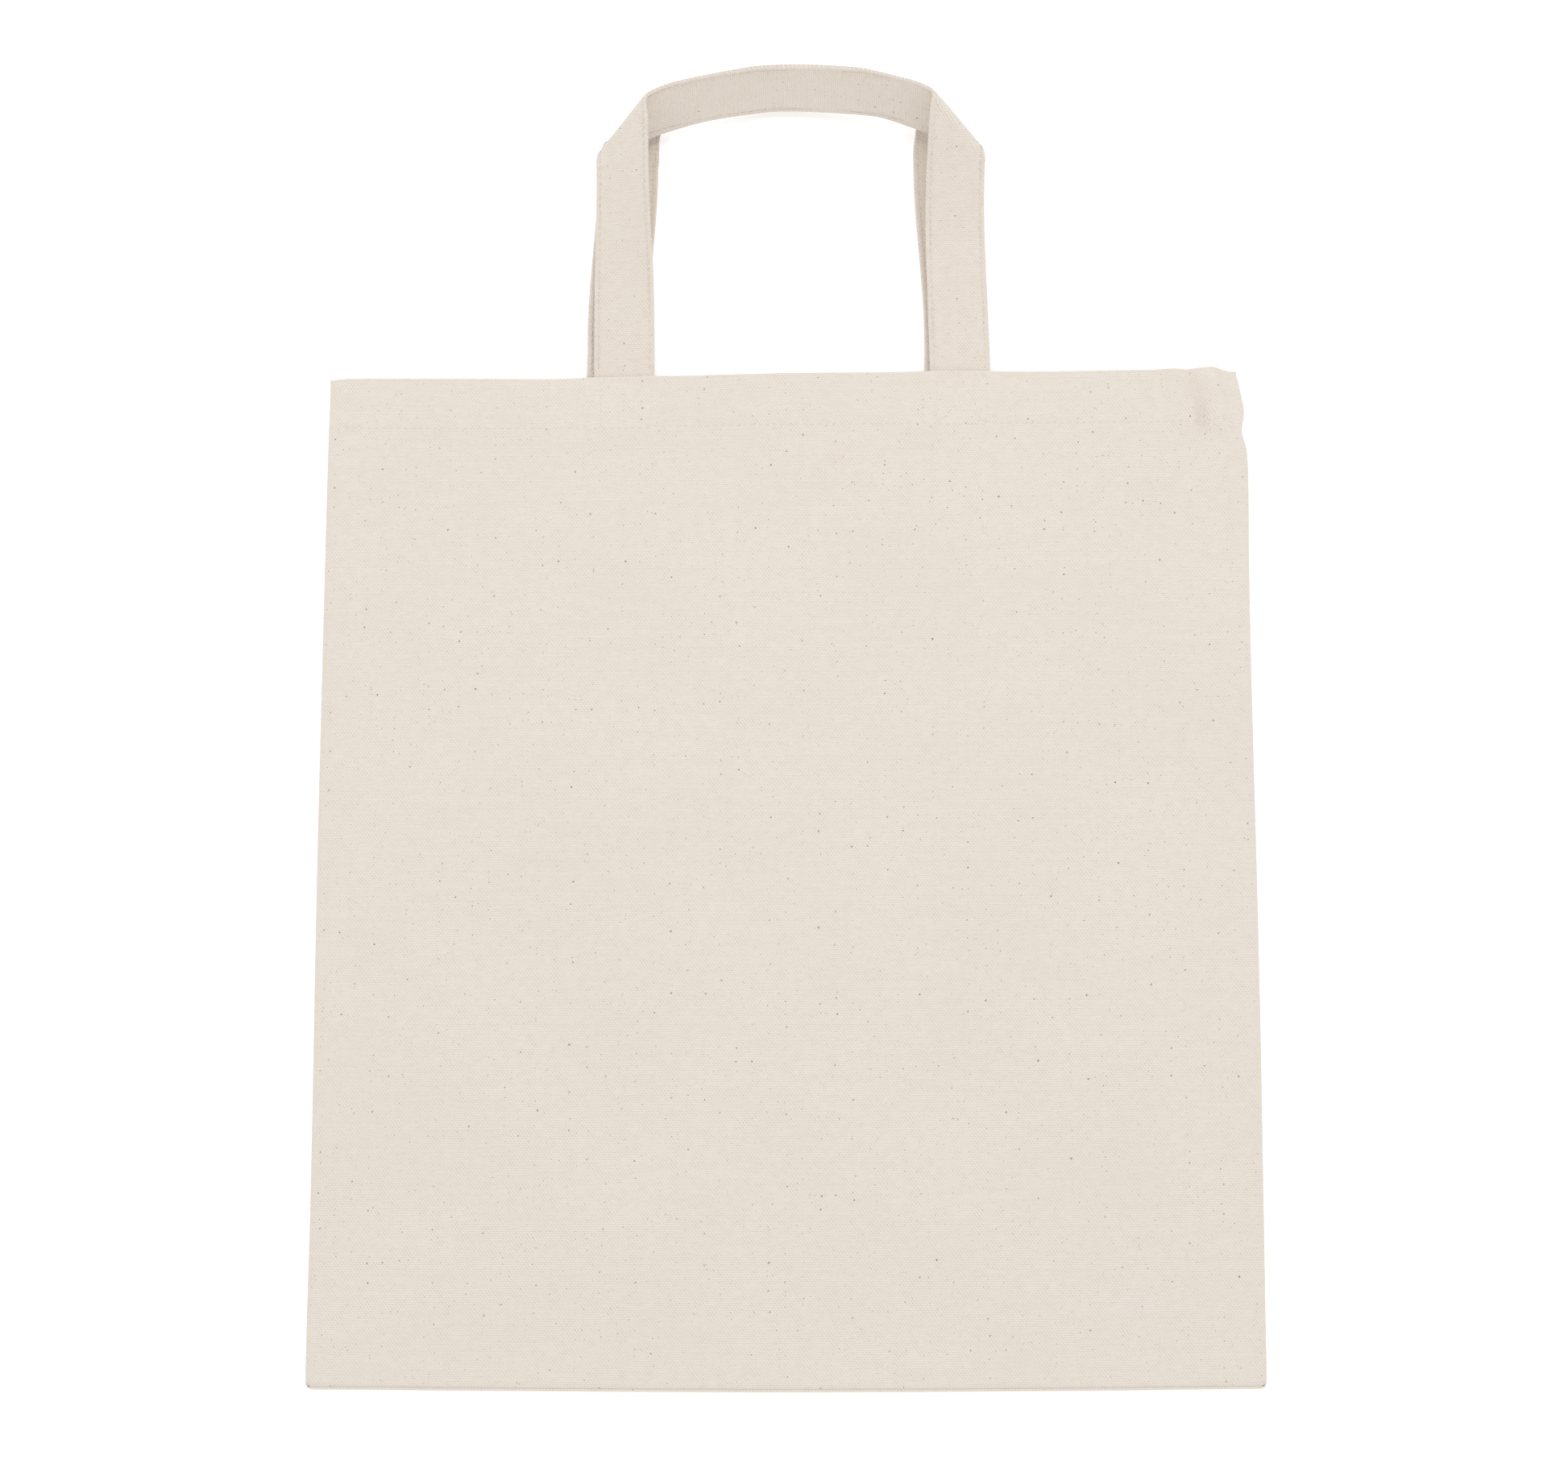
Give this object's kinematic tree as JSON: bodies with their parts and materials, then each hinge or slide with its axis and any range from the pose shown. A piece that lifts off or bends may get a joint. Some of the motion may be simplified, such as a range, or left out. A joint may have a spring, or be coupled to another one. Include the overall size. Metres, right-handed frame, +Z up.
{
  "type": "tote bag",
  "caption": "Flat-lying open-topped canvas shopping bag with hemmed mouth and short strap handles sewn inside the hem.",
  "frame": {"origin": "under the middle of the whole bag with its handles laid out, on the surface it lies on", "axes": "+X across the bag, +Y from the bottom seam to the mouth and the handles, +Z up from the surface"},
  "size_m": [0.38, 0.5476, 0.0311],
  "materials": {
    "canvas": "matt plain-woven unbleached cotton with seed flecks",
    "strap": "matt plain-woven unbleached cotton, folded and edge stitched",
    "thread": "matt spun thread"
  },
  "bodies": {
    "back_side": {"back_panel": "canvas", "back_hem": "canvas", "left_side_seam": "canvas", "right_side_seam": "canvas", "bottom_seam": "canvas", "left_seam_overlock": "thread", "right_seam_overlock": "thread", "bottom_seam_overlock": "thread", "back_hem_stitch": "thread", "back_left_strap_end": "strap", "back_right_strap_end": "strap", "back_left_box_stitch": "thread", "back_right_box_stitch": "thread"},
    "front_side": {"front_panel": "canvas", "front_hem": "canvas", "front_hem_stitch": "thread", "front_left_strap_end": "strap", "front_right_strap_end": "strap", "front_left_box_stitch": "thread", "front_right_box_stitch": "thread"},
    "front_handle_loop": {"front_handle": "strap", "front_handle_edge_stitch": "thread"},
    "back_handle_loop": {"back_handle": "strap", "back_handle_edge_stitch": "thread"}
  },
  "joints": [
    {"name": "mouth_open", "type": "hinge", "parent": "back_side", "child": "front_side", "pos_m": [0, -0.27375, 0.0074], "axis": [1, 0, 0], "range_deg": [0, 6]},
    {"name": "front_handle_swing", "type": "hinge", "parent": "front_side", "child": "front_handle_loop", "pos_m": [0, 0.14225, 0.0082], "axis": [1, 0, 0], "range_deg": [0, 166]},
    {"name": "back_handle_swing", "type": "hinge", "parent": "back_side", "child": "back_handle_loop", "pos_m": [0, 0.14225, 0], "axis": [-1, 0, 0], "range_deg": [0, 175]}
  ]
}
